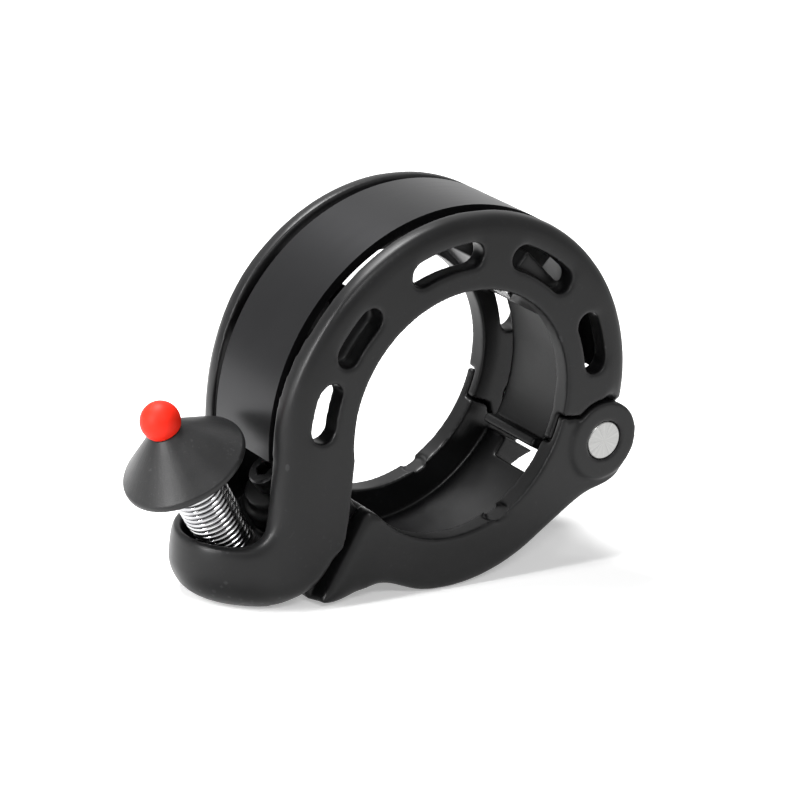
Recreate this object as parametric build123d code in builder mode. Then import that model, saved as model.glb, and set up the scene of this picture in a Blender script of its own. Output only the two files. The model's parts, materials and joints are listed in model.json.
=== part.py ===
from build123d import *
import os
from math import cos, sin, radians, sqrt

os.makedirs("parts", exist_ok=True)

# Ring-shaped bicycle bell that wraps round a handlebar.
# Frame: origin on the bar axis at the middle of the bell, Y along the bar, +Z up.
# The bell stands on the clamp arm and the foot of its housing. Millimetres and degrees.
# Angles are measured in the XZ plane from +X towards +Z.

# ---- sizes -------------------------------------------------------------------
bar_diameter = 31.8
bar_clearance = 0.1
rim_radius = 25.6
half_width = 10.1
cheek_wall = 2.7
cheek_gap = half_width - cheek_wall
bore_radius = bar_diameter / 2 + bar_clearance

band_side_gap = 1.65
band_half_width = cheek_gap - band_side_gap
band_thickness = 1.2
band_recess = 0.1
band_start = 4.0
band_end = 189.4

slot_depth = 5.1
slot_radius = rim_radius - slot_depth
slot_width = 3.2
slot_spans = [(13.2, 28.3), (50.9, 71.9), (93.5, 114.1), (138.3, 151.6), (166.5, 178.5)]

arm_wall_inner = bore_radius + 4.6
arm_wall = 2.3
arm_outer = arm_wall_inner + arm_wall
floor_level = arm_outer
leg_inner = bore_radius - 0.4
leg_outer = rim_radius - 0.3
foot_sweep = 11.0
foot_round_x = rim_radius - 5.6
foot_length = 12.8
foot_wall = 1.3
foot_rim_level = floor_level - 8.7
tub_floor_level = floor_level - 4.3
foot_toe_round = 4.5
foot_heel_round = 3.5

hinge_radius = bore_radius + 7.48
hinge_angle = -14.8
eye_radius = 5.1
eye_proud = 0.35
knuckle_radius = 4.7
knuckle_depth = 1.35
pin_radius = 2.5
pin_recess = 0.12
running_gap = 0.05
swing_gap = 0.35
layer_gap = 0.1
housing_end = -7.4
knuckle_end = -20.0

arm_wall_end = -28.5
window_end = -36.0
window_half = cheek_gap - 3.8
peg_radius = 1.6
peg_depth = 0.5
peg_angle = -61.0

joint_angle = -136.5
joint_gap = 0.25
screw_radius_at = bore_radius + 4.9
screw_shank = 1.25
screw_head = 2.25
screw_head_height = 2.4
screw_key = 2.0
screw_clearance = 0.2
screw_reach = 6.4
boss_top = 7.2
boss_radius = 4.2
boss_step_radius = 5.3
boss_step = 1.2
web_thickness = 3.0
nut_flats = 5.0
nut_thickness = 2.0
nut_depth = 3.6
nut_gap = 0.08

panel_inner = bore_radius + 2.7
panel_wall = 1.6
panel_far_edge = cheek_gap - 2.2
panel_low = -27.0
panel_high = 44.0
bar_inner = bore_radius + 0.8
bar_outer = bar_inner + 3.8
bar_span = 11.0
mount_angles = [49.5, 147.0]
bush_shank = 2.2
bush_flange = 3.2
stud_radius = 1.0
stud_gap = 0.05
nut_ring = 2.4
nut_ring_thickness = 0.6

striker_lean = 33.3
striker_x = -(rim_radius + 0.15)
striker_z = -(floor_level - 6.1)
pad_radius = 4.2
pad_drop = 1.2
spring_outer = 3.35
spring_wire = 0.62
spring_pitch = 0.70
spring_length = 11.6
plug_core_gap = 0.08
plug_core_length = 3.4
plug_flange = 3.3
plug_room = 0.3
cone_radius = 7.8
cone_rim_at = 13.7
cone_under = 1.5
cone_under_radius = 6.1
cone_top_radius = 1.95
cone_top_at = 19.3
ball_radius = 2.45
ball_at = 20.7
stud_root = 8.2
stud_collar = 5.0
stud_collar_height = 1.0
stud_core = 1.2
stud_tip = 0.9
fit_gap = 0.05
fixing_shank = 1.5
fixing_head = 2.5
fixing_head_height = 1.5
fixing_seat = 3.4
fixing_gap = 0.15

# ---- derived ------------------------------------------------------------------
band_outer = rim_radius - band_recess
band_inner = band_outer - band_thickness
layer = cheek_gap + knuckle_depth
eye_face = half_width + eye_proud
hinge_x = hinge_radius * cos(radians(hinge_angle))
hinge_z = hinge_radius * sin(radians(hinge_angle))
far = 3 * rim_radius
foot_tip = foot_round_x + foot_length


def polar(radius, angle):
    return (radius * cos(radians(angle)), radius * sin(radians(angle)))


def wedge(angle_a, angle_b, reach=far):
    # corner points of a pie slice wide enough to cut the ring
    middle = (angle_a + angle_b) / 2
    return [(0, 0), polar(reach, angle_a), polar(reach, middle), polar(reach, angle_b)]


# clamp joint: radial direction r, normal t, both in the XZ plane
joint_r = (cos(radians(joint_angle)), sin(radians(joint_angle)))
joint_t = (joint_r[1], -joint_r[0])


def joint_point(radius, height):
    return (radius * joint_r[0] + height * joint_t[0], radius * joint_r[1] + height * joint_t[1])


screw_foot = joint_point(screw_radius_at, 0)
screw_plane = Plane(
    origin=(screw_foot[0], 0, screw_foot[1]),
    x_dir=(joint_r[0], 0, joint_r[1]),
    z_dir=(joint_t[0], 0, joint_t[1]),
)

# striker axis, leaning away from the ring
lean = radians(striker_lean)
striker_plane = Plane(
    origin=(striker_x, 0, striker_z),
    x_dir=(cos(lean), 0, sin(lean)),
    z_dir=(-sin(lean), 0, cos(lean)),
)


def radial_plane(angle, radius):
    direction = polar(1, angle)
    return Plane(
        origin=(direction[0] * radius, 0, direction[1] * radius),
        x_dir=(0, 1, 0),
        z_dir=(direction[0], 0, direction[1]),
    )

# outline points of the clamp arm
arm_start = housing_end - 0.9
eye_point = (hinge_x + eye_radius * cos(radians(-40)), hinge_z + eye_radius * sin(radians(-40)))
nose_peak = joint_point(bore_radius + 0.37, 1.2)
nose_toe = joint_point(arm_outer + 5.79, -3.65)
nose_angle = -134.5
channel_end = -116.0
tongue_reach = 28.0


# ---- outer form of the housing: oval end in plan, round lower edge ----------------
with BuildPart() as foot_form:
    with BuildSketch(Plane.XY.offset(-floor_level)):
        with Locations((-foot_round_x, 0)):
            Ellipse(foot_length, half_width)
            Rectangle(2 * far, 2 * half_width, align=(Align.MIN, Align.CENTER))
    extrude(amount=2 * far)
    fillet(foot_form.faces().sort_by(Axis.Z)[0].edges().filter_by(Plane.XY).sort_by(Axis.X)[:-1], foot_toe_round)

# ---- housing ------------------------------------------------------------------
with BuildPart() as housing:
    # ring disc, hinge shoulder and hooked leg in side view
    with BuildSketch(Plane.XZ):
        Circle(rim_radius)
        with BuildLine():
            Polyline(
                polar(rim_radius - 0.05, 14),
                (hinge_x + 3.1, hinge_z + 3.6),
                (hinge_x - 4, hinge_z + 2),
                (15, 0),
                polar(rim_radius - 0.05, 14),
            )
        make_face()
        with BuildLine():
            Line((0, 0), (-leg_inner, 0))
            Line((-leg_inner, 0), (-leg_inner, foot_sweep - floor_level))
            CenterArc((-leg_inner - foot_sweep, foot_sweep - floor_level), foot_sweep, 0, -90)
            Line((-leg_inner - foot_sweep, -floor_level), (-foot_tip, -floor_level))
            Line((-foot_tip, -floor_level), (-foot_tip, -foot_rim_level))
            Line((-foot_tip, -foot_rim_level), (-leg_outer - foot_heel_round, -foot_rim_level))
            CenterArc((-leg_outer - foot_heel_round, foot_heel_round - foot_rim_level), foot_heel_round, -90, 90)
            Line((-leg_outer, foot_heel_round - foot_rim_level), (-leg_outer, 1))
            Line((-leg_outer, 1), (0, 1))
            Line((0, 1), (0, 0))
        make_face()
    extrude(amount=half_width, both=True)
    # round lower edge of the foot
    add(foot_form.part, mode=Mode.INTERSECT)
    # remove the lower sector, which the clamp arm fills
    with BuildSketch(Plane.XZ):
        with BuildLine():
            Polyline(
                *wedge(housing_end, -100),
                (-leg_inner - foot_sweep, -far),
                (-leg_inner - foot_sweep, foot_sweep - floor_level),
                (-leg_inner, foot_sweep - floor_level),
                (-leg_inner, -1.5),
                (0, -1.5),
                (0, 0),
            )
        make_face()
        with Locations((-leg_inner - foot_sweep, foot_sweep - floor_level)):
            Circle(foot_sweep, mode=Mode.SUBTRACT)
    extrude(amount=half_width + 5, both=True, mode=Mode.SUBTRACT)
    # open channel between the cheeks, down into the tub of the foot
    with BuildSketch(Plane.XY.offset(-tub_floor_level)):
        with Locations((-foot_round_x, 0)):
            Ellipse(foot_length - foot_wall, cheek_gap)
            Rectangle(2 * far, 2 * cheek_gap, align=(Align.MIN, Align.CENTER))
    extrude(amount=far, mode=Mode.SUBTRACT)
    # room for the tongue of the clamp arm under the joint plane
    with BuildSketch(Plane.XZ):
        with BuildLine():
            Polyline(
                joint_point(10, joint_gap),
                joint_point(45, joint_gap),
                joint_point(45, -30),
                joint_point(10, -30),
                joint_point(10, joint_gap),
            )
        make_face()
    extrude(amount=cheek_gap, both=True, mode=Mode.SUBTRACT)
    # sound slots
    with BuildSketch(Plane.XZ):
        for start, stop in slot_spans:
            with BuildLine():
                CenterArc((0, 0), slot_radius + slot_width / 2, start, stop - start)
                CenterArc(polar(slot_radius, stop), slot_width / 2, stop, 180)
                CenterArc((0, 0), slot_radius - slot_width / 2, start, stop - start)
                CenterArc(polar(slot_radius, start), slot_width / 2, start + 180, 180)
            make_face()
    extrude(amount=far, both=True, mode=Mode.SUBTRACT)
    # inner layer of each cheek runs on past the hinge and ends in a knuckle
    for side in (1, -1):
        with BuildSketch(Plane.XZ.offset(side * cheek_gap)):
            with BuildLine():
                Polyline(
                    polar(bore_radius - 2, knuckle_end),
                    polar(hinge_radius - 2, knuckle_end),
                    (hinge_x, hinge_z),
                    polar(hinge_radius + 1, housing_end + 4),
                    polar(bore_radius - 2, housing_end + 1),
                    polar(bore_radius - 2, knuckle_end),
                )
            make_face()
            with Locations((hinge_x, hinge_z)):
                Circle(knuckle_radius)
            Circle(bore_radius, mode=Mode.SUBTRACT)
        extrude(amount=side * knuckle_depth)
        # seat for the eye of the clamp arm
        with BuildSketch(Plane.XZ.offset(side * layer)):
            with Locations((hinge_x, hinge_z)):
                Circle(eye_radius + swing_gap)
        extrude(amount=side * half_width, mode=Mode.SUBTRACT)
    # web on the housing side of the clamp joint
    with BuildSketch(Plane.XZ):
        with BuildLine():
            Polyline(
                joint_point(bore_radius + 0.8, joint_gap),
                joint_point(30, joint_gap),
                joint_point(28, joint_gap + web_thickness),
                joint_point(bore_radius + 0.8, joint_gap + web_thickness),
                joint_point(bore_radius + 0.8, joint_gap),
            )
        make_face()
    extrude(amount=cheek_gap, both=True)
    # stepped boss for the clamp screw
    with BuildSketch(screw_plane.offset(joint_gap)):
        Circle(boss_step_radius)
    extrude(amount=boss_top - boss_step - joint_gap)
    with BuildSketch(screw_plane.offset(joint_gap)):
        Circle(boss_radius)
    extrude(amount=boss_top - joint_gap)
    # bar bore
    with BuildSketch(Plane.XZ):
        Circle(bore_radius)
    extrude(amount=far, both=True, mode=Mode.SUBTRACT)
    # pad under the striker spring
    with BuildSketch(striker_plane.offset(-pad_drop)):
        Circle(pad_radius)
    extrude(amount=-(fixing_seat - pad_drop + 0.6))
    with BuildSketch(striker_plane.offset(-pad_drop)):
        Circle(spring_outer + plug_room)
    extrude(amount=spring_length, mode=Mode.SUBTRACT)
    # curved inner panel and its end bar
    with BuildSketch(Plane.XZ.offset(cheek_gap)):
        Circle(panel_inner + panel_wall)
        Circle(panel_inner, mode=Mode.SUBTRACT)
        with BuildLine():
            Polyline(*wedge(panel_high, 360 + knuckle_end + 2), (0, 0))
        make_face(mode=Mode.SUBTRACT)
        with BuildLine():
            Polyline(*wedge(panel_high, panel_high + 100), (0, 0))
        make_face(mode=Mode.SUBTRACT)
    extrude(amount=-(cheek_gap + panel_far_edge))
    with BuildSketch(Plane.XZ.offset(panel_far_edge)):
        with BuildLine():
            Polyline(
                polar(panel_inner, knuckle_end + 3),
                polar(panel_inner + panel_wall, knuckle_end + 3),
                polar(panel_inner + panel_wall, panel_low),
                polar(panel_inner - 1.6, panel_low),
                polar(panel_inner - 1.6, panel_low + 4),
                polar(panel_inner, panel_low + 4.5),
                polar(panel_inner, knuckle_end + 3),
            )
        make_face()
    extrude(amount=-2 * panel_far_edge)
    # bars between the cheeks that carry the band
    for angle in mount_angles:
        with BuildSketch(radial_plane(angle, bar_inner)):
            Rectangle(2 * cheek_gap, bar_span)
        extrude(amount=bar_outer - bar_inner)
        with BuildSketch(radial_plane(angle, bar_inner - 1)):
            Circle(bush_shank + fit_gap)
        extrude(amount=bar_outer - bar_inner + 2, mode=Mode.SUBTRACT)
    # screw and pin holes
    with BuildSketch(screw_plane.offset(-2)):
        Circle(screw_shank + screw_clearance)
    extrude(amount=boss_top + 6, mode=Mode.SUBTRACT)
    with BuildSketch(striker_plane.offset(-pad_drop + 1)):
        Circle(fixing_shank + fixing_gap)
    extrude(amount=-12, mode=Mode.SUBTRACT)
    with BuildSketch(striker_plane.offset(-fixing_seat)):
        Circle(fixing_head + fixing_gap)
    extrude(amount=-12, mode=Mode.SUBTRACT)
    with BuildSketch(Plane.XZ):
        with Locations((hinge_x, hinge_z)):
            Circle(pin_radius)
    extrude(amount=far, both=True, mode=Mode.SUBTRACT)

housing.part.label = "housing"
export_step(housing.part, "parts/housing.step")

# ---- clamp arm ----------------------------------------------------------------
with BuildPart() as clamp_arm:
    with BuildSketch(Plane.XZ):
        with BuildLine():
            Line(polar(bore_radius, arm_start), polar(hinge_radius, arm_start))
            Line(polar(hinge_radius, arm_start), (hinge_x, hinge_z))
            Line((hinge_x, hinge_z), eye_point)
            Spline(
                eye_point,
                polar(arm_outer + 4.5, -26),
                polar(arm_outer + 2.3, -31.5),
                polar(arm_outer + 1.2, -36.5),
                polar(arm_outer, -52),
            )
            CenterArc((0, 0), arm_outer, -52, -46)
            Spline(
                polar(arm_outer, -98),
                polar(arm_outer - 0.35, -106.5),
                polar(arm_outer + 0.1, -115.5),
                polar(arm_outer + 2.2, -121),
                polar(arm_outer + 4.2, -124.5),
                nose_toe,
            )
            Line(nose_toe, nose_peak)
            Line(nose_peak, polar(bore_radius, nose_angle))
            CenterArc((0, 0), bore_radius, nose_angle, arm_start - nose_angle)
        make_face()
    extrude(amount=half_width, both=True)
    # channel between the side walls, open to the bar
    with BuildSketch(Plane.XZ):
        Circle(arm_wall_inner)
        with BuildLine():
            Polyline(*wedge(channel_end, -360 + 20), (0, 0))
        make_face(mode=Mode.SUBTRACT)
        with BuildLine():
            Polyline(*wedge(arm_wall_end, 30), (0, 0))
        make_face()
    extrude(amount=cheek_gap, both=True, mode=Mode.SUBTRACT)
    # nothing of the arm between the side walls passes the joint plane
    with BuildSketch(Plane.XZ):
        with BuildLine():
            Polyline(
                joint_point(10, 0),
                joint_point(45, 0),
                joint_point(45, 20),
                joint_point(10, 20),
                joint_point(10, 0),
            )
        make_face()
    extrude(amount=cheek_gap, both=True, mode=Mode.SUBTRACT)
    # tongue that reaches the joint plane between the legs
    with BuildSketch(Plane.XZ):
        with BuildLine():
            Polyline(
                joint_point(bore_radius + 1, 0),
                joint_point(tongue_reach, 0),
                nose_toe,
                joint_point(bore_radius + 3, -6),
                joint_point(bore_radius + 1, 0),
            )
        make_face()
    extrude(amount=cheek_gap - swing_gap, both=True)
    # inner layer gives way to the knuckles of the housing
    with BuildSketch(Plane.XZ):
        with Locations((hinge_x, hinge_z)):
            Circle(knuckle_radius + swing_gap)
        with BuildLine():
            Polyline(*wedge(knuckle_end - 1.2, 30), (0, 0))
        make_face()
    extrude(amount=layer + layer_gap, both=True, mode=Mode.SUBTRACT)
    # eyes
    for side in (1, -1):
        with BuildSketch(Plane.XZ.offset(side * (layer + layer_gap))):
            with Locations((hinge_x, hinge_z)):
                Circle(eye_radius)
        extrude(amount=side * (eye_face - layer - layer_gap))
        # round pockets in the bar seat
        with BuildSketch(radial_plane(peg_angle, bore_radius - 1)):
            with Locations((side * (half_width + cheek_gap) / 2, 0)):
                Circle(peg_radius)
        extrude(amount=1 + peg_depth, mode=Mode.SUBTRACT)
    with BuildSketch(Plane.XZ):
        with Locations((hinge_x, hinge_z)):
            Circle(pin_radius + running_gap)
    extrude(amount=far, both=True, mode=Mode.SUBTRACT)
    # window beside the hinge
    with BuildSketch(Plane.XZ):
        with BuildLine():
            Polyline(*wedge(window_end, arm_wall_end + 6), (0, 0))
        make_face()
    extrude(amount=window_half, both=True, mode=Mode.SUBTRACT)
    # screw hole and nut pocket
    with BuildSketch(screw_plane.offset(1)):
        Circle(screw_shank + screw_clearance)
    extrude(amount=-nut_depth - 2, mode=Mode.SUBTRACT)
    with BuildSketch(screw_plane.offset(-nut_depth)):
        RegularPolygon(nut_flats / 2 + nut_gap, 6, major_radius=False)
    extrude(amount=-10, mode=Mode.SUBTRACT)

clamp_arm.part.label = "clamp_arm"
export_step(clamp_arm.part, "parts/clamp_arm.step")

# ---- bell band ----------------------------------------------------------------
with BuildPart() as bell_band:
    with BuildSketch(Plane.XZ):
        Circle(band_outer)
        Circle(band_inner, mode=Mode.SUBTRACT)
        with BuildLine():
            Polyline(*wedge(band_end, 360 + band_start), (0, 0))
        make_face(mode=Mode.SUBTRACT)
    extrude(amount=band_half_width, both=True)
    # welded studs that reach inwards through the bushes
    for angle in mount_angles:
        with BuildSketch(radial_plane(angle, bore_radius + 0.12)):
            Circle(stud_radius)
        extrude(amount=band_inner + 0.3 - bore_radius - 0.12)

bell_band.part.label = "bell_band"
export_step(bell_band.part, "parts/bell_band.step")

# ---- rubber bushes under the band -----------------------------------------------
bush_top = sqrt(band_inner ** 2 - bush_flange ** 2) - 0.02
with BuildPart() as band_bushes:
    for angle in mount_angles:
        with BuildSketch(radial_plane(angle, bar_inner)):
            Circle(bush_shank)
        extrude(amount=bar_outer - bar_inner)
        with BuildSketch(radial_plane(angle, bar_outer)):
            Circle(bush_flange)
        extrude(amount=bush_top - bar_outer)
        with BuildSketch(radial_plane(angle, bar_inner - 1)):
            Circle(stud_radius + stud_gap)
        extrude(amount=bush_top - bar_inner + 2, mode=Mode.SUBTRACT)

band_bushes.part.label = "band_bushes"
export_step(band_bushes.part, "parts/band_bushes.step")

# ---- push nuts on the studs -------------------------------------------------------
with BuildPart() as push_nuts:
    for angle in mount_angles:
        with BuildSketch(radial_plane(angle, bar_inner - nut_ring_thickness)):
            Circle(nut_ring)
            Circle(stud_radius + stud_gap, mode=Mode.SUBTRACT)
        extrude(amount=nut_ring_thickness)

push_nuts.part.label = "push_nuts"
export_step(push_nuts.part, "parts/push_nuts.step")

# ---- hinge pins ---------------------------------------------------------------------
with BuildPart() as hinge_pin_near:
    with BuildSketch(Plane.XZ.offset(cheek_gap - pin_recess)):
        with Locations((hinge_x, hinge_z)):
            Circle(pin_radius)
    extrude(amount=eye_face - cheek_gap)

hinge_pin_near.part.label = "hinge_pin_near"
export_step(hinge_pin_near.part, "parts/hinge_pin_near.step")

with BuildPart() as hinge_pin_far:
    with BuildSketch(Plane.XZ.offset(pin_recess - cheek_gap)):
        with Locations((hinge_x, hinge_z)):
            Circle(pin_radius)
    extrude(amount=cheek_gap - eye_face)

hinge_pin_far.part.label = "hinge_pin_far"
export_step(hinge_pin_far.part, "parts/hinge_pin_far.step")

# ---- clamp screw and its nut ----------------------------------------------------------
with BuildPart() as clamp_screw:
    with BuildSketch(screw_plane.offset(boss_top)):
        Circle(screw_head)
    extrude(amount=screw_head_height)
    with BuildSketch(screw_plane.offset(boss_top)):
        Circle(screw_shank)
    extrude(amount=-boss_top - screw_reach)
    with BuildSketch(screw_plane.offset(boss_top + screw_head_height)):
        RegularPolygon(screw_key / 2, 6, major_radius=False)
    extrude(amount=-screw_head_height * 0.6, mode=Mode.SUBTRACT)
    chamfer(clamp_screw.edges().filter_by(GeomType.CIRCLE).filter_by(lambda e: abs(e.radius - screw_head) < 0.01).sort_by(Axis.Z)[-1:], 0.25)

clamp_screw.part.label = "clamp_screw"
export_step(clamp_screw.part, "parts/clamp_screw.step")

with BuildPart() as clamp_nut:
    with BuildSketch(screw_plane.offset(-nut_depth - nut_thickness)):
        RegularPolygon(nut_flats / 2, 6, major_radius=False)
        Circle(screw_shank + fit_gap, mode=Mode.SUBTRACT)
    extrude(amount=nut_thickness)

clamp_nut.part.label = "clamp_nut"
export_step(clamp_nut.part, "parts/clamp_nut.step")

# ---- striker: plug, its screw, spring, stud, cone and ball ------------------------------
spring_inner = spring_outer - spring_wire
core_radius = spring_inner - plug_core_gap
with BuildPart() as spring_plug:
    with BuildSketch(striker_plane.offset(-pad_drop)):
        Circle(plug_flange)
    extrude(amount=pad_drop)
    with BuildSketch(striker_plane):
        Circle(core_radius)
    extrude(amount=plug_core_length)
    with BuildSketch(striker_plane.offset(-pad_drop)):
        Circle(fixing_shank + fit_gap)
    extrude(amount=pad_drop + plug_core_length - 0.8, mode=Mode.SUBTRACT)

spring_plug.part.label = "spring_plug"
export_step(spring_plug.part, "parts/spring_plug.step")

with BuildPart() as plug_screw:
    with BuildSketch(striker_plane.offset(-fixing_seat - fixing_head_height)):
        Circle(fixing_head)
    extrude(amount=fixing_head_height)
    with BuildSketch(striker_plane.offset(-fixing_seat)):
        Circle(fixing_shank)
    extrude(amount=fixing_seat + plug_core_length - 1.2)

plug_screw.part.label = "plug_screw"
export_step(plug_screw.part, "parts/plug_screw.step")

coil_radius = spring_outer - spring_wire / 2
coil_height = spring_length - spring_wire
coil_start = striker_plane.offset(spring_wire / 2)
with BuildPart() as striker_spring:
    with BuildLine() as coil:
        Helix(spring_pitch, coil_height, coil_radius, coil_start.origin, coil_start.z_dir)
    with BuildSketch(Plane(origin=coil.line @ 0, z_dir=coil.line % 0)):
        Circle(spring_wire / 2)
    sweep(is_frenet=True)

striker_spring.part.label = "striker_spring"
export_step(striker_spring.part, "parts/striker_spring.step")

collar_at = spring_length
with BuildPart() as striker_stud:
    with BuildSketch(striker_plane.offset(stud_root)):
        Circle(core_radius)
    extrude(amount=collar_at - stud_root)
    with BuildSketch(striker_plane.offset(collar_at)):
        Circle(stud_collar)
    extrude(amount=stud_collar_height)
    with BuildSketch(striker_plane.offset(collar_at)):
        Circle(stud_core)
    extrude(amount=cone_top_at - collar_at)
    with BuildSketch(striker_plane.offset(cone_top_at)):
        Circle(stud_tip)
    extrude(amount=ball_at - cone_top_at + 0.4)

striker_stud.part.label = "striker_stud"
export_step(striker_stud.part, "parts/striker_stud.step")

profile_plane = Plane(origin=striker_plane.origin, x_dir=striker_plane.x_dir, z_dir=(0, -1, 0))
striker_axis = Axis(striker_plane.origin, striker_plane.z_dir)
cone_bottom = cone_rim_at - cone_under
with BuildPart() as striker_cone:
    with BuildSketch(profile_plane):
        with BuildLine():
            Polyline(
                (stud_core + fit_gap, collar_at + stud_collar_height + fit_gap),
                (stud_collar + fit_gap, collar_at + stud_collar_height + fit_gap),
                (stud_collar + fit_gap, cone_bottom),
                (cone_under_radius, cone_bottom),
                (cone_radius, cone_rim_at - 0.35),
                (cone_radius, cone_rim_at + 0.35),
                (cone_top_radius, cone_top_at),
                (stud_core + fit_gap, cone_top_at),
                (stud_core + fit_gap, collar_at + stud_collar_height + fit_gap),
            )
        make_face()
    revolve(axis=striker_axis)

striker_cone.part.label = "striker_cone"
export_step(striker_cone.part, "parts/striker_cone.step")

with BuildPart() as striker_ball:
    with BuildSketch(profile_plane):
        with BuildLine():
            CenterArc((0, ball_at), ball_radius, -90, 180)
            Line((0, ball_at + ball_radius), (0, ball_at - ball_radius))
        make_face()
        with Locations((0, cone_top_at + fit_gap)):
            Rectangle(4 * ball_radius, 4 * ball_radius, align=(Align.CENTER, Align.MAX), mode=Mode.SUBTRACT)
        with Locations((0, ball_at + 0.5)):
            Rectangle(2 * (stud_tip + fit_gap), 4 * ball_radius, align=(Align.CENTER, Align.MAX), mode=Mode.SUBTRACT)
    revolve(axis=striker_axis)

striker_ball.part.label = "striker_ball"
export_step(striker_ball.part, "parts/striker_ball.step")
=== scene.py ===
import json
from math import radians

import bmesh
import bpy
import numpy as np
from mathutils import Matrix, Vector

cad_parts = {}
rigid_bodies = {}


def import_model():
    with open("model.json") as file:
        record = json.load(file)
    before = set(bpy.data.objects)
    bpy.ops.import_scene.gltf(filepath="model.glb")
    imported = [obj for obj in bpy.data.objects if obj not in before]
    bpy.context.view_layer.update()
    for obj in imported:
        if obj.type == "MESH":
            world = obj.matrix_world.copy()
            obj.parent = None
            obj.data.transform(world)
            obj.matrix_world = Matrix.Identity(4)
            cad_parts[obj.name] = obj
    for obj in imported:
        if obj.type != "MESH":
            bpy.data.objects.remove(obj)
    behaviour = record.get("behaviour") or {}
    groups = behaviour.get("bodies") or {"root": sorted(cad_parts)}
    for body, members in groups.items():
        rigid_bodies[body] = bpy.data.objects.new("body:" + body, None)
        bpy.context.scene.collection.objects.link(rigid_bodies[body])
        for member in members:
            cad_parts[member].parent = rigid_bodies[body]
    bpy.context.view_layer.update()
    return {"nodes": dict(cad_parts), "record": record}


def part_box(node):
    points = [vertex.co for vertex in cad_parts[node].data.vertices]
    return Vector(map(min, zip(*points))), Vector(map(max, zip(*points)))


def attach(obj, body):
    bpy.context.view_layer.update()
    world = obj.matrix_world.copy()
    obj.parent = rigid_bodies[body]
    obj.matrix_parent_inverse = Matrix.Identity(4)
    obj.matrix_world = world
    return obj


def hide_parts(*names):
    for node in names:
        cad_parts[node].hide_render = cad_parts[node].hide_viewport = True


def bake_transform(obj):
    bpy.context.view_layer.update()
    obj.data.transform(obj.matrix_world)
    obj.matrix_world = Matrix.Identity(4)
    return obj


for unused in list(bpy.data.objects):
    bpy.data.objects.remove(unused)

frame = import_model()

# Everything below is in metres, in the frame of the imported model: Y along the handlebar, Z up.
MM = 0.001

# ---- sizes read from the frame --------------------------------------------------
housing_low, housing_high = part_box("housing")
pin_low, pin_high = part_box("hinge_pin_near")
rim_radius = housing_high.z
half_width = housing_high.y
bore_radius = frame["record"]["mounts"][0]["dims"]["r_mm"] * MM
foot_level = housing_low.z
hinge_centre = (pin_low + pin_high) / 2
pin_radius = (pin_high.x - pin_low.x) / 2
slot_outer = rim_radius - 3.4 * MM

# ---- sizes of this scene's own ----------------------------------------------------
seam_gap = 0.002 * MM
shell_cell = 0.2 * MM
housing_passes = 170
arm_passes = 150
foot_start_x = 22.0 * MM
foot_start_z = 11.5 * MM
foot_sole = 5.2 * MM
nose_start_x = 11.0 * MM
eye_rim = 3.4 * MM
floor_reach = 3.0


# ---- mesh helpers ---------------------------------------------------------------
def shown_copy(name, mesh, node, body):
    """A new piece that stands for a CAD node and moves with its body."""
    piece = bpy.data.objects.new(name, mesh)
    bpy.context.scene.collection.objects.link(piece)
    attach(piece, body)
    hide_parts(node)
    return piece


def even_grid_mesh(node, cell):
    """The node's surface rebuilt as one even grid of small faces, cell metres apart."""
    scale = 1 / MM
    mesh = frame["nodes"][node].data.copy()
    mesh.transform(Matrix.Scale(scale, 4))
    solid = bpy.data.objects.new("solid", mesh)
    bpy.context.scene.collection.objects.link(solid)
    grid = solid.modifiers.new("even_grid", "REMESH")
    grid.mode = "VOXEL"
    grid.voxel_size = cell * scale
    shape = bpy.data.meshes.new_from_object(solid.evaluated_get(bpy.context.evaluated_depsgraph_get()))
    bpy.data.objects.remove(solid)
    shape.transform(Matrix.Scale(MM, 4))
    return shape


def soften(mesh, passes, share):
    """Rounds the mesh's edges: each pass moves a point halfway to the middle of its neighbours.

    share(points) says for which part of the passes, 0 to 1, each point moves.
    """
    count = len(mesh.vertices)
    points = np.empty(count * 3)
    mesh.vertices.foreach_get("co", points)
    points = points.reshape(-1, 3)
    ends = np.empty(len(mesh.edges) * 2, dtype=int)
    mesh.edges.foreach_get("vertices", ends)
    first = np.concatenate([ends[0::2], ends[1::2]])
    second = np.concatenate([ends[1::2], ends[0::2]])
    degree = np.bincount(first, minlength=count)
    rate = share(points)
    for step in range(passes):
        active = np.where(step < rate * passes, 0.5, 0.0)
        for axis in range(3):
            middle = np.bincount(first, weights=points[second, axis], minlength=count) / degree
            points[:, axis] += active * (middle - points[:, axis])
    mesh.vertices.foreach_set("co", points.ravel())
    mesh.update()


def rounded_shell(node, name, body, passes, share):
    """A moulded shell: the CAD node with every edge rounded, more where share is larger."""
    mesh = even_grid_mesh(node, shell_cell)
    mesh.name = name
    soften(mesh, passes, share)
    mesh.shade_smooth()
    return shown_copy(name, mesh, node, body)


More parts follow.
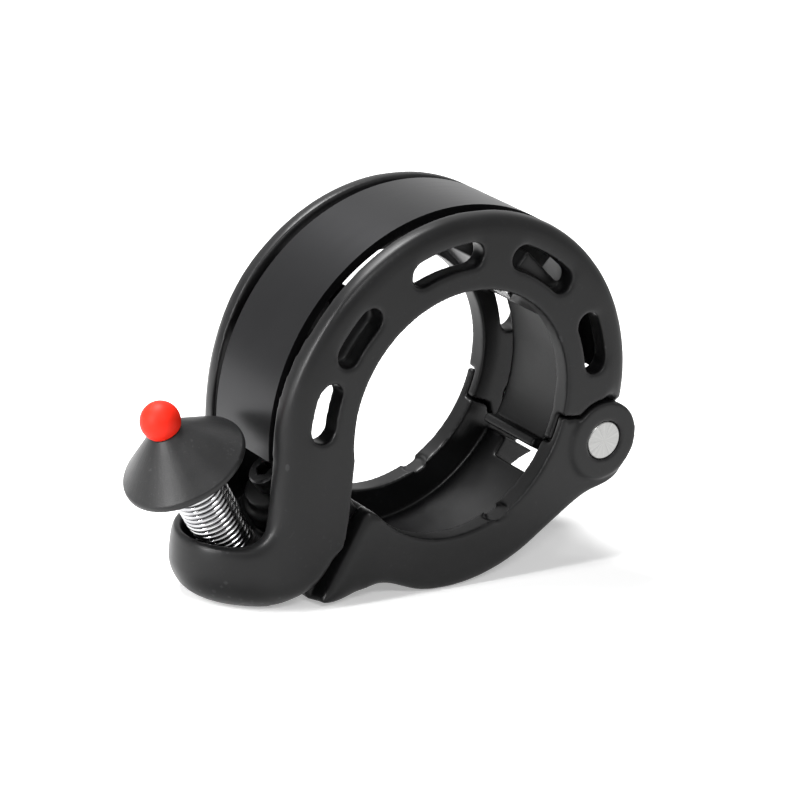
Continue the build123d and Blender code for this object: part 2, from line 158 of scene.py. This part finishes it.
def bevelled(node, name, body, width, segments, sharp):
    """A copy of a CAD node, its seams joined and each edge sharper than sharp degrees bevelled."""
    mesh = frame["nodes"][node].data.copy()
    mesh.name = name
    shell = bmesh.new()
    shell.from_mesh(mesh)
    bmesh.ops.remove_doubles(shell, verts=shell.verts, dist=seam_gap)
    bmesh.ops.dissolve_limit(shell, angle_limit=radians(0.6), verts=shell.verts, edges=shell.edges)
    weights = shell.edges.layers.float.new("bevel_weight_edge")
    for edge in shell.edges:
        if edge.is_manifold and edge.calc_face_angle(0) >= radians(sharp):
            edge[weights] = 1.0
    for face in shell.faces:
        face.smooth = True
    shell.to_mesh(mesh)
    shell.free()
    mesh.set_sharp_from_angle(angle=radians(40))
    piece = shown_copy(name, mesh, node, body)
    rounding = piece.modifiers.new("rounded_edges", "BEVEL")
    rounding.limit_method = "WEIGHT"
    rounding.width = width
    rounding.segments = segments
    rounding.use_clamp_overlap = True
    even = piece.modifiers.new("even_shading", "WEIGHTED_NORMAL")
    even.keep_sharp = True
    return piece


def joined_node(node):
    """A CAD node shown as it is, with its seams joined."""
    piece = frame["nodes"][node]
    seams = piece.modifiers.new("joined_seams", "WELD")
    seams.merge_threshold = seam_gap
    return piece


# ---- finishes -------------------------------------------------------------------
def grey(level, blue=0.0):
    """A neutral colour, a little bluer if blue is given."""
    return (level, level, level + blue)


def link(tree, source, target):
    tree.links.new(source, target)


def group(name, inputs, outputs):
    """An empty shader node group with named sockets, and its input and output nodes."""
    tree = bpy.data.node_groups.new(name, "ShaderNodeTree")
    for socket, kind, value in inputs:
        made = tree.interface.new_socket(socket, in_out="INPUT", socket_type=kind)
        made.default_value = value
    for socket, kind in outputs:
        tree.interface.new_socket(socket, in_out="OUTPUT", socket_type=kind)
    return tree, tree.nodes.new("NodeGroupInput"), tree.nodes.new("NodeGroupOutput")


def maths(tree, operation, a, b=None, clamp=False):
    """The result of a Math node on two numbers or sockets."""
    node = tree.nodes.new("ShaderNodeMath")
    node.operation = operation
    node.use_clamp = clamp
    for socket, value in zip(node.inputs, (a, b)):
        if isinstance(value, (int, float)):
            socket.default_value = value
        elif value is not None:
            link(tree, value, socket)
    return node.outputs[0]


def span(tree, value, low, high, to_low=0.0, to_high=1.0):
    """The value carried from the range low to high on to the range to_low to to_high."""
    node = tree.nodes.new("ShaderNodeMapRange")
    link(tree, value, node.inputs["Value"])
    limits = {"From Min": low, "From Max": high, "To Min": to_low, "To Max": to_high}
    for socket, number in limits.items():
        if isinstance(number, (int, float)):
            node.inputs[socket].default_value = number
        else:
            link(tree, number, node.inputs[socket])
    return node.outputs["Result"]


def noise(tree, place, scale, detail=2.0, roughness=0.5):
    node = tree.nodes.new("ShaderNodeTexNoise")
    link(tree, place, node.inputs["Vector"])
    node.inputs["Detail"].default_value = detail
    node.inputs["Roughness"].default_value = roughness
    if isinstance(scale, (int, float)):
        node.inputs["Scale"].default_value = scale
    else:
        link(tree, scale, node.inputs["Scale"])
    return node.outputs["Fac"]


def blend_colour(tree, factor, first, second):
    """Mixes two colours, each a tuple or a socket; factor 0 gives the first."""
    node = tree.nodes.new("ShaderNodeMix")
    node.data_type = "RGBA"
    link(tree, factor, node.inputs["Factor"])
    for socket, value in ((node.inputs[6], first), (node.inputs[7], second)):
        if isinstance(value, tuple):
            socket.default_value = (*value, 1)
        else:
            link(tree, value, socket)
    return node.outputs[2]


def make_mould_grain():
    """Fine grain of a moulded or coated surface, with broad soft patches of handling and dust."""
    tree, given, made = group(
        "mould_grain",
        [("Grain per metre", "NodeSocketFloat", 4000.0), ("Patch per metre", "NodeSocketFloat", 120.0)],
        [("Height", "NodeSocketFloat"), ("Patch", "NodeSocketFloat"), ("Dust", "NodeSocketFloat")],
    )
    place = tree.nodes.new("ShaderNodeTexCoord").outputs["Object"]
    fine = noise(tree, place, given.outputs["Grain per metre"], 3.0, 0.6)
    patch = noise(tree, place, given.outputs["Patch per metre"], 3.0, 0.55)
    specks = noise(tree, place, maths(tree, "MULTIPLY", given.outputs["Grain per metre"], 0.45), 1.0, 0.4)
    link(tree, fine, made.inputs["Height"])
    link(tree, span(tree, patch, 0.35, 0.65), made.inputs["Patch"])
    dust = maths(tree, "MULTIPLY", span(tree, specks, 0.66, 0.74), span(tree, patch, 0.4, 0.6))
    link(tree, dust, made.inputs["Dust"])
    return tree


def make_edge_highlight_and_rub():
    """Mask of the outer edges, where handling has worn the surface smoother and where a lighter colour is
    painted as a highlight.
    """
    tree, given, made = group(
        "edge_highlight_and_rub",
        [("Start", "NodeSocketFloat", 0.55), ("Full", "NodeSocketFloat", 0.64)],
        [("Mask", "NodeSocketFloat")],
    )
    place = tree.nodes.new("ShaderNodeTexCoord").outputs["Object"]
    bend = tree.nodes.new("ShaderNodeNewGeometry").outputs["Pointiness"]
    broken = span(tree, noise(tree, place, 700.0, 3.0, 0.6), 0.3, 0.62, 0.35, 1.0)
    edge = span(tree, bend, given.outputs["Start"], given.outputs["Full"])
    link(tree, maths(tree, "MULTIPLY", edge, broken, clamp=True), made.inputs["Mask"])
    return tree


def make_turned_rings():
    """Concentric tool marks round an axis along Y through a given point, and radial fans that the pin
    paints as sheen.
    """
    tree, given, made = group(
        "turned_rings",
        [
            ("Centre X", "NodeSocketFloat", 0.0),
            ("Centre Z", "NodeSocketFloat", 0.0),
            ("Rings per metre", "NodeSocketFloat", 9000.0),
        ],
        [("Height", "NodeSocketFloat"), ("Sheen fans", "NodeSocketFloat")],
    )
    place = tree.nodes.new("ShaderNodeTexCoord").outputs["Object"]
    parts = tree.nodes.new("ShaderNodeSeparateXYZ")
    link(tree, place, parts.inputs[0])
    across = maths(tree, "SUBTRACT", parts.outputs["X"], given.outputs["Centre X"])
    up = maths(tree, "SUBTRACT", parts.outputs["Z"], given.outputs["Centre Z"])
    across_squared = maths(tree, "MULTIPLY", across, across)
    up_squared = maths(tree, "MULTIPLY", up, up)
    radius = maths(tree, "SQRT", maths(tree, "ADD", across_squared, up_squared))
    angle = maths(tree, "ARCTAN2", up, across)
    ring_place = tree.nodes.new("ShaderNodeCombineXYZ")
    link(tree, maths(tree, "MULTIPLY", radius, given.outputs["Rings per metre"]), ring_place.inputs[0])
    link(tree, maths(tree, "MULTIPLY", angle, 0.6), ring_place.inputs[1])
    rings = noise(tree, ring_place.outputs[0], 1.0, 2.0, 0.6)
    fan_place = tree.nodes.new("ShaderNodeCombineXYZ")
    # Radial fans, used as painted sheen in the pin's colour.
    link(tree, maths(tree, "MULTIPLY", angle, 5.0), fan_place.inputs[0])
    sheen_fans = noise(tree, fan_place.outputs[0], 1.0, 3.0, 0.6)
    link(tree, rings, made.inputs["Height"])
    link(tree, sheen_fans, made.inputs["Sheen fans"])
    return tree


mould_grain = make_mould_grain()
edge_highlight_and_rub = make_edge_highlight_and_rub()
turned_rings = make_turned_rings()


def use(tree, shared, **values):
    """Places a shared group in a material with its own values; underscores stand for spaces."""
    node = tree.nodes.new("ShaderNodeGroup")
    node.node_tree = shared
    for socket, value in values.items():
        node.inputs[socket.replace("_", " ")].default_value = value
    return node


def bump(tree, shader, height, depth):
    node = tree.nodes.new("ShaderNodeBump")
    node.inputs["Strength"].default_value = 1.0
    node.inputs["Distance"].default_value = depth
    link(tree, height, node.inputs["Height"])
    link(tree, node.outputs["Normal"], shader.inputs["Normal"])


def finish_base(name, metallic=0.0, gloss=0.5):
    """A new material with its tree and its Principled shader."""
    material = bpy.data.materials.new(name)
    material.use_nodes = True
    shader = material.node_tree.nodes["Principled BSDF"]
    shader.inputs["Metallic"].default_value = metallic
    shader.inputs["Specular IOR Level"].default_value = gloss
    return material, material.node_tree, shader


def coated(name, tones, rough, grain_depth, grain=4000.0, metallic=0.0, dust=0.35, gloss=0.5):
    """A grained finish: two close tones in soft patches, edges painted lighter as a highlight and worn
    smoother, a little dust.

    tones are the darker and lighter patch and the highlight colour painted on the edges.
    """
    dark, light, edge_highlight = tones
    material, tree, shader = finish_base(name, metallic, gloss)
    surface = use(tree, mould_grain, Grain_per_metre=grain)
    edge_highlight_and_rub_mask = use(tree, edge_highlight_and_rub)
    tone = blend_colour(tree, surface.outputs["Patch"], dark, light)
    # Painted highlight: the edge mask lays the third tone on the convex edges.
    tone = blend_colour(tree, edge_highlight_and_rub_mask.outputs["Mask"], tone, edge_highlight)
    dusty = maths(tree, "MULTIPLY", surface.outputs["Dust"], dust)
    dust_tone = tuple(min(1.0, part * 3 + 0.02) for part in light)
    tone = blend_colour(tree, dusty, tone, dust_tone)
    link(tree, tone, shader.inputs["Base Color"])
    patchy = span(tree, surface.outputs["Patch"], 0.0, 1.0, rough - 0.04, rough + 0.05)
    worn = maths(tree, "SUBTRACT", patchy, maths(tree, "MULTIPLY", edge_highlight_and_rub_mask.outputs["Mask"], 0.08))
    final = maths(tree, "ADD", worn, maths(tree, "MULTIPLY", dusty, 0.3), clamp=True)
    link(tree, final, shader.inputs["Roughness"])
    bump(tree, shader, surface.outputs["Height"], grain_depth)
    return material


# The third tone in each set is painted on the convex edges as a highlight.
black_tones = (grey(0.0035, 0.0002), grey(0.0055, 0.0003), grey(0.02, 0.001))
cone_tones = (grey(0.005, 0.0003), grey(0.008, 0.0003), grey(0.03, 0.001))
red_tones = ((0.60, 0.013, 0.004), (0.64, 0.017, 0.006), (0.68, 0.03, 0.01))
nylon_tones = (grey(0.02), grey(0.03), grey(0.05))
rubber_tones = (grey(0.012), grey(0.02), grey(0.04))
oxide_tones = (grey(0.02, 0.001), grey(0.035, 0.001), grey(0.3))
steel_tones = (grey(0.42), grey(0.52), grey(0.7))

housing_black = coated("housing_black", black_tones, 0.36, 0.003 * MM, dust=0.12, gloss=0.2)
arm_black = coated("arm_black", black_tones, 0.34, 0.003 * MM, dust=0.12, gloss=0.2)
cone_black = coated("cone_black", cone_tones, 0.42, 0.014 * MM, grain=5200.0, dust=0.4, gloss=0.25)
ball_red = coated("ball_red", red_tones, 0.5, 0.002 * MM, grain=3000.0, dust=0.02, gloss=0.15)
nylon_black = coated("plug_nylon", nylon_tones, 0.55, 0.004 * MM)
bush_rubber = coated("bush_rubber", rubber_tones, 0.75, 0.008 * MM, dust=0.6)
screw_black = coated("black_screw", oxide_tones, 0.34, 0.002 * MM, metallic=0.8)
plain_steel = coated("plain_steel", steel_tones, 0.32, 0.002 * MM, metallic=1.0)


def make_band_grey():
    """Satin coating over bent metal, with faint marks along the bend."""
    material, tree, shader = finish_base("band_grey", 0.8, 0.3)
    surface = use(tree, mould_grain, Grain_per_metre=2600.0, Patch_per_metre=90.0)
    place = tree.nodes.new("ShaderNodeTexCoord").outputs["Object"]
    parts = tree.nodes.new("ShaderNodeSeparateXYZ")
    link(tree, place, parts.inputs[0])
    line_place = tree.nodes.new("ShaderNodeCombineXYZ")
    along_bend = maths(tree, "ARCTAN2", parts.outputs["Z"], parts.outputs["X"])
    link(tree, maths(tree, "MULTIPLY", parts.outputs["Y"], 9000.0), line_place.inputs[0])
    link(tree, maths(tree, "MULTIPLY", along_bend, 3.0), line_place.inputs[1])
    lines = noise(tree, line_place.outputs[0], 1.0, 2.0, 0.5)
    tone = blend_colour(tree, surface.outputs["Patch"], grey(0.016, 0.001), grey(0.018, 0.001))
    link(tree, tone, shader.inputs["Base Color"])
    rough = span(tree, lines, 0.3, 0.7, 0.29, 0.34)
    link(tree, rough, shader.inputs["Roughness"])
    bump(tree, shader, maths(tree, "ADD", lines, surface.outputs["Height"]), 0.0008 * MM)
    return material


def make_pin_steel():
    """Bright turned face with concentric tool marks, radial fans of painted sheen and edges painted
    lighter as a highlight.
    """
    material, tree, shader = finish_base("pin_steel", 1.0)
    marks = use(tree, turned_rings, Centre_X=hinge_centre.x, Centre_Z=hinge_centre.z)
    edge_highlight_and_rub_mask = use(tree, edge_highlight_and_rub)
    # Painted sheen: radial fans lighten and darken the steel's colour.
    tone = blend_colour(tree, marks.outputs["Sheen fans"], grey(0.16), grey(0.42, -0.01))
    # Painted highlight: the edge mask lightens the edges.
    tone = blend_colour(tree, edge_highlight_and_rub_mask.outputs["Mask"], tone, grey(0.6))
    link(tree, tone, shader.inputs["Base Color"])
    link(tree, span(tree, marks.outputs["Sheen fans"], 0.3, 0.7, 0.24, 0.36), shader.inputs["Roughness"])
    bump(tree, shader, marks.outputs["Height"], 0.006 * MM)
    return material


def make_spring_chrome():
    """Bright plated wire with faint drawing marks."""
    material, tree, shader = finish_base("spring_chrome", 1.0)
    surface = use(tree, mould_grain, Grain_per_metre=3000.0, Patch_per_metre=400.0)
    tone = blend_colour(tree, surface.outputs["Patch"], grey(0.30, 0.01), grey(0.46))
    link(tree, tone, shader.inputs["Base Color"])
    link(tree, span(tree, surface.outputs["Patch"], 0.0, 1.0, 0.12, 0.2), shader.inputs["Roughness"])
    bump(tree, shader, surface.outputs["Height"], 0.001 * MM)
    return material


band_grey = make_band_grey()
pin_steel = make_pin_steel()
spring_chrome = make_spring_chrome()


def wear(piece, material):
    piece.data.materials.clear()
    piece.data.materials.append(material)


# ---- housing --------------------------------------------------------------------
def ring_radius(points):
    return np.hypot(points[:, 0], points[:, 2])


def ramp(values, start, length):
    """0 before start, 1 from start plus length on."""
    return np.clip((values - start) / length, 0, 1)


def housing_rounding(points):
    """Broad rounding on the outer edge of the cheeks, the leg and the foot, small elsewhere."""
    radius, side = ring_radius(points), np.abs(points[:, 1])
    near_rim = ramp(radius, slot_outer - 0.2 * MM, 1.4 * MM)
    near_face = ramp(side, half_width - 3.0 * MM, 1.4 * MM)
    past_leg = ramp(-points[:, 0], foot_start_x, 3.0 * MM)
    below_ring = ramp(-points[:, 2], foot_start_z, 1.5 * MM)
    above_sole = ramp(points[:, 2], foot_level + foot_sole, 1.5 * MM)
    return 0.05 + 0.95 * np.maximum(near_rim * near_face, past_leg * below_ring * above_sole)


housing = rounded_shell(
    "housing", "housing_shell", "frame", housing_passes, housing_rounding
)
wear(housing, housing_black)


# ---- clamp arm ------------------------------------------------------------------
def arm_rounding(points):
    """Soft outer edges and nose, crisp pin holes and pockets."""
    radius, side = ring_radius(points), np.abs(points[:, 1])
    from_pin = np.hypot(points[:, 0] - hinge_centre.x, points[:, 2] - hinge_centre.z)
    off_bore = ramp(radius, bore_radius + 0.5 * MM, 1.0 * MM)
    near_face = ramp(side, half_width - 2.4 * MM, 1.2 * MM)
    off_eye = ramp(from_pin, pin_radius + eye_rim, 1.0 * MM)
    nose = ramp(-points[:, 0], nose_start_x, 2.0 * MM) * ramp(side, half_width - 3.2 * MM, 1.2 * MM)
    return 0.05 + np.maximum(0.35 * off_bore * near_face * off_eye, 0.9 * nose)


arm = rounded_shell("clamp_arm", "clamp_arm_shell", "arm", arm_passes, arm_rounding)
wear(arm, arm_black)

# ---- sounding band --------------------------------------------------------------
band = bevelled("bell_band", "sounding_band", "frame", 0.25 * MM, 3, 40)
wear(band, band_grey)

# ---- striker --------------------------------------------------------------------
cone = bevelled("striker_cone", "striker_cone_shell", "striker", 0.45 * MM, 4, 20)
wear(cone, cone_black)
wear(joined_node("striker_ball"), ball_red)
wear(joined_node("striker_stud"), plain_steel)

# The spring wire is a fixed copy of the CAD node, joined to no body.
spring = bpy.data.objects.new("striker_spring_wire", frame["nodes"]["striker_spring"].data.copy())
bpy.context.scene.collection.objects.link(spring)
wear(spring, spring_chrome)
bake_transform(spring)
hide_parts("striker_spring")

# ---- pins, screws and hidden trim ------------------------------------------------
for node in ("hinge_pin_near", "hinge_pin_far"):
    pin = bevelled(node, node + "_turned", "frame", 0.15 * MM, 2, 40)
    wear(pin, pin_steel)

screw = bevelled("clamp_screw", "clamp_screw_black", "screw", 0.15 * MM, 2, 30)
wear(screw, screw_black)
nut = bevelled("clamp_nut", "clamp_nut_steel", "arm", 0.2 * MM, 2, 30)
wear(nut, plain_steel)
plug_screw = bevelled("plug_screw", "plug_screw_black", "frame", 0.15 * MM, 2, 30)
wear(plug_screw, screw_black)
hidden_trim = {"band_bushes": bush_rubber, "push_nuts": plain_steel, "spring_plug": nylon_black}
for node, finish in hidden_trim.items():
    wear(joined_node(node), finish)


# ---- floor, light and camera ------------------------------------------------------
def seen_directly(tree):
    """1 for the camera's own rays and for those mirrored or passed on by the object."""
    path = tree.nodes.new("ShaderNodeLightPath")
    glossy, passed = path.outputs["Is Glossy Ray"], path.outputs["Is Transmission Ray"]
    return maths(tree, "MAXIMUM", path.outputs["Is Camera Ray"], maths(tree, "MAXIMUM", glossy, passed))


def make_floor_white():
    """Matt white that keeps shadows, lifted towards white where it is seen directly."""
    material = bpy.data.materials.new("floor_white")
    material.use_nodes = True
    tree = material.node_tree
    shader = tree.nodes["Principled BSDF"]
    shader.inputs["Base Color"].default_value = (0.86, 0.86, 0.86, 1)
    shader.inputs["Roughness"].default_value = 0.9
    shader.inputs["Specular IOR Level"].default_value = 0.0
    shader.inputs["Emission Color"].default_value = (1, 1, 1, 1)
    seen = seen_directly(tree)
    link(tree, maths(tree, "MULTIPLY", seen, 0.36), shader.inputs["Emission Strength"])
    return material


floor_mesh = bpy.data.meshes.new("floor")
sides = ((-1, -1), (1, -1), (1, 1), (-1, 1))
corners = [(x * floor_reach, y * floor_reach) for x, y in sides]
floor_mesh.from_pydata([(x, y, foot_level) for x, y in corners], [], [(0, 1, 2, 3)])
floor = bpy.data.objects.new("floor", floor_mesh)
bpy.context.scene.collection.objects.link(floor)
floor.data.materials.append(make_floor_white())

world = bpy.data.worlds.new("studio")
bpy.context.scene.world = world
world.use_nodes = True
background = world.node_tree.nodes["Background"]
background.inputs["Color"].default_value = (1, 1, 1, 1)
strength = span(world.node_tree, seen_directly(world.node_tree), 0.0, 1.0, 0.16, 1.0)
link(world.node_tree, strength, background.inputs["Strength"])


def softbox(name, place, size, power):
    """A rectangular lamp that faces the bell."""
    lamp = bpy.data.lights.new(name, "AREA")
    lamp.shape = "RECTANGLE"
    lamp.size, lamp.size_y = size
    lamp.energy = power
    holder = bpy.data.objects.new(name, lamp)
    bpy.context.scene.collection.objects.link(holder)
    holder.location = place
    holder.rotation_mode = "QUATERNION"
    holder.rotation_quaternion = (-Vector(place)).to_track_quat("-Z", "Y")


softbox("top_box", (-0.08, 0.14, 0.36), (0.20, 0.12), 3.2)
softbox("left_box", (-0.42, -0.02, 0.16), (0.05, 0.30), 2.6)
softbox("front_box", (-0.16, -0.40, 0.34), (0.20, 0.08), 0.9)

camera_data = bpy.data.cameras.new("camera")
camera_data.lens = 145.77
camera_data.sensor_width = 36.0
camera = bpy.data.objects.new("camera", camera_data)
bpy.context.scene.collection.objects.link(camera)
camera_right = Vector((0.80882, -0.57886, 0.10361))
camera_up = Vector((0.11462, 0.32800, 0.93770))
camera_back = Vector((-0.57678, -0.74656, 0.33164))
camera_place = Vector((-232.447, -297.920, 131.216)) * MM
turned = Matrix((camera_right, camera_up, camera_back)).transposed()
camera.matrix_world = Matrix.Translation(camera_place) @ turned.to_4x4()
camera_data.clip_start, camera_data.clip_end = 0.01, 20
bpy.context.scene.camera = camera
bpy.context.scene.view_settings.view_transform = "Standard"
